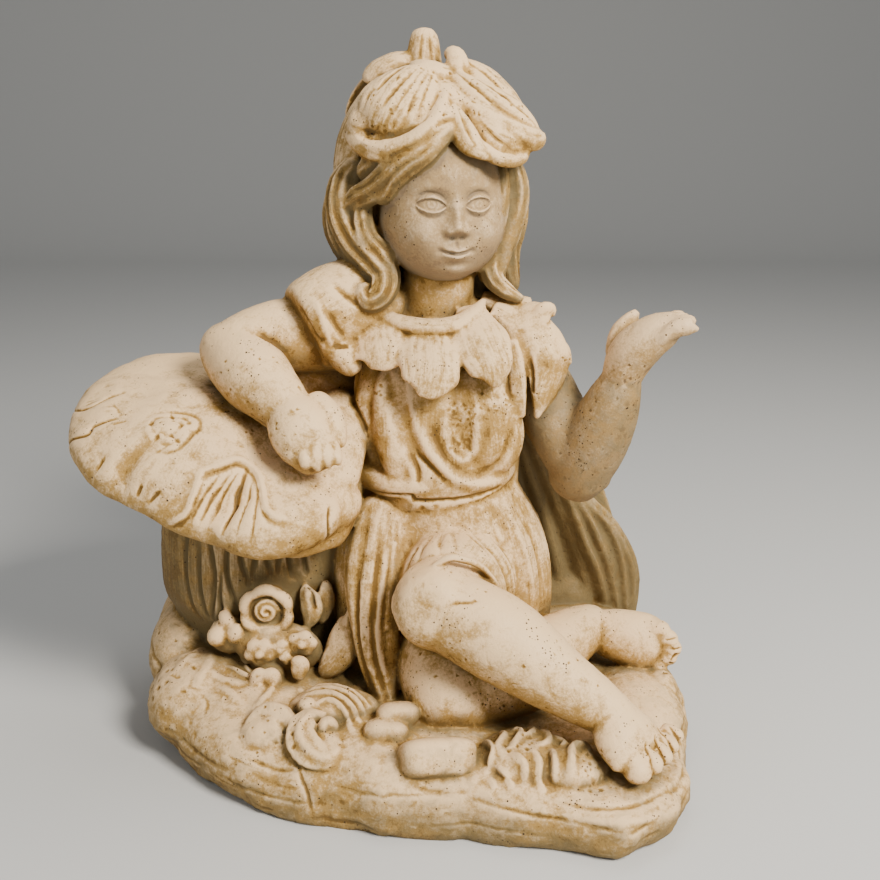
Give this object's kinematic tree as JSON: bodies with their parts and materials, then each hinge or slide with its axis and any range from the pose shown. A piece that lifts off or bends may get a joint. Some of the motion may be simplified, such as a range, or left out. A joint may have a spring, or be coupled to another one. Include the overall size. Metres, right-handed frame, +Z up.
{
  "type": "garden statue",
  "caption": "Cast stone garden statue of a fairy girl sitting on a rock and leaning on a mushroom, with one hand raised; stands on its flat underside.",
  "frame": {"origin": "on the flat underside of the rock, below the seated figure", "axes": "+Z up; the figure faces -Y; +X is towards the raised hand and -X towards the mushroom"},
  "size_m": [0.4911, 0.3526, 0.545],
  "materials": {
    "antique_cast_stone": "cream cast stone with an ochre wash left in the hollows, softly sealed, with small air pits"
  },
  "bodies": {
    "root": {"fairy_statue": "antique_cast_stone"}
  },
  "joints": []
}
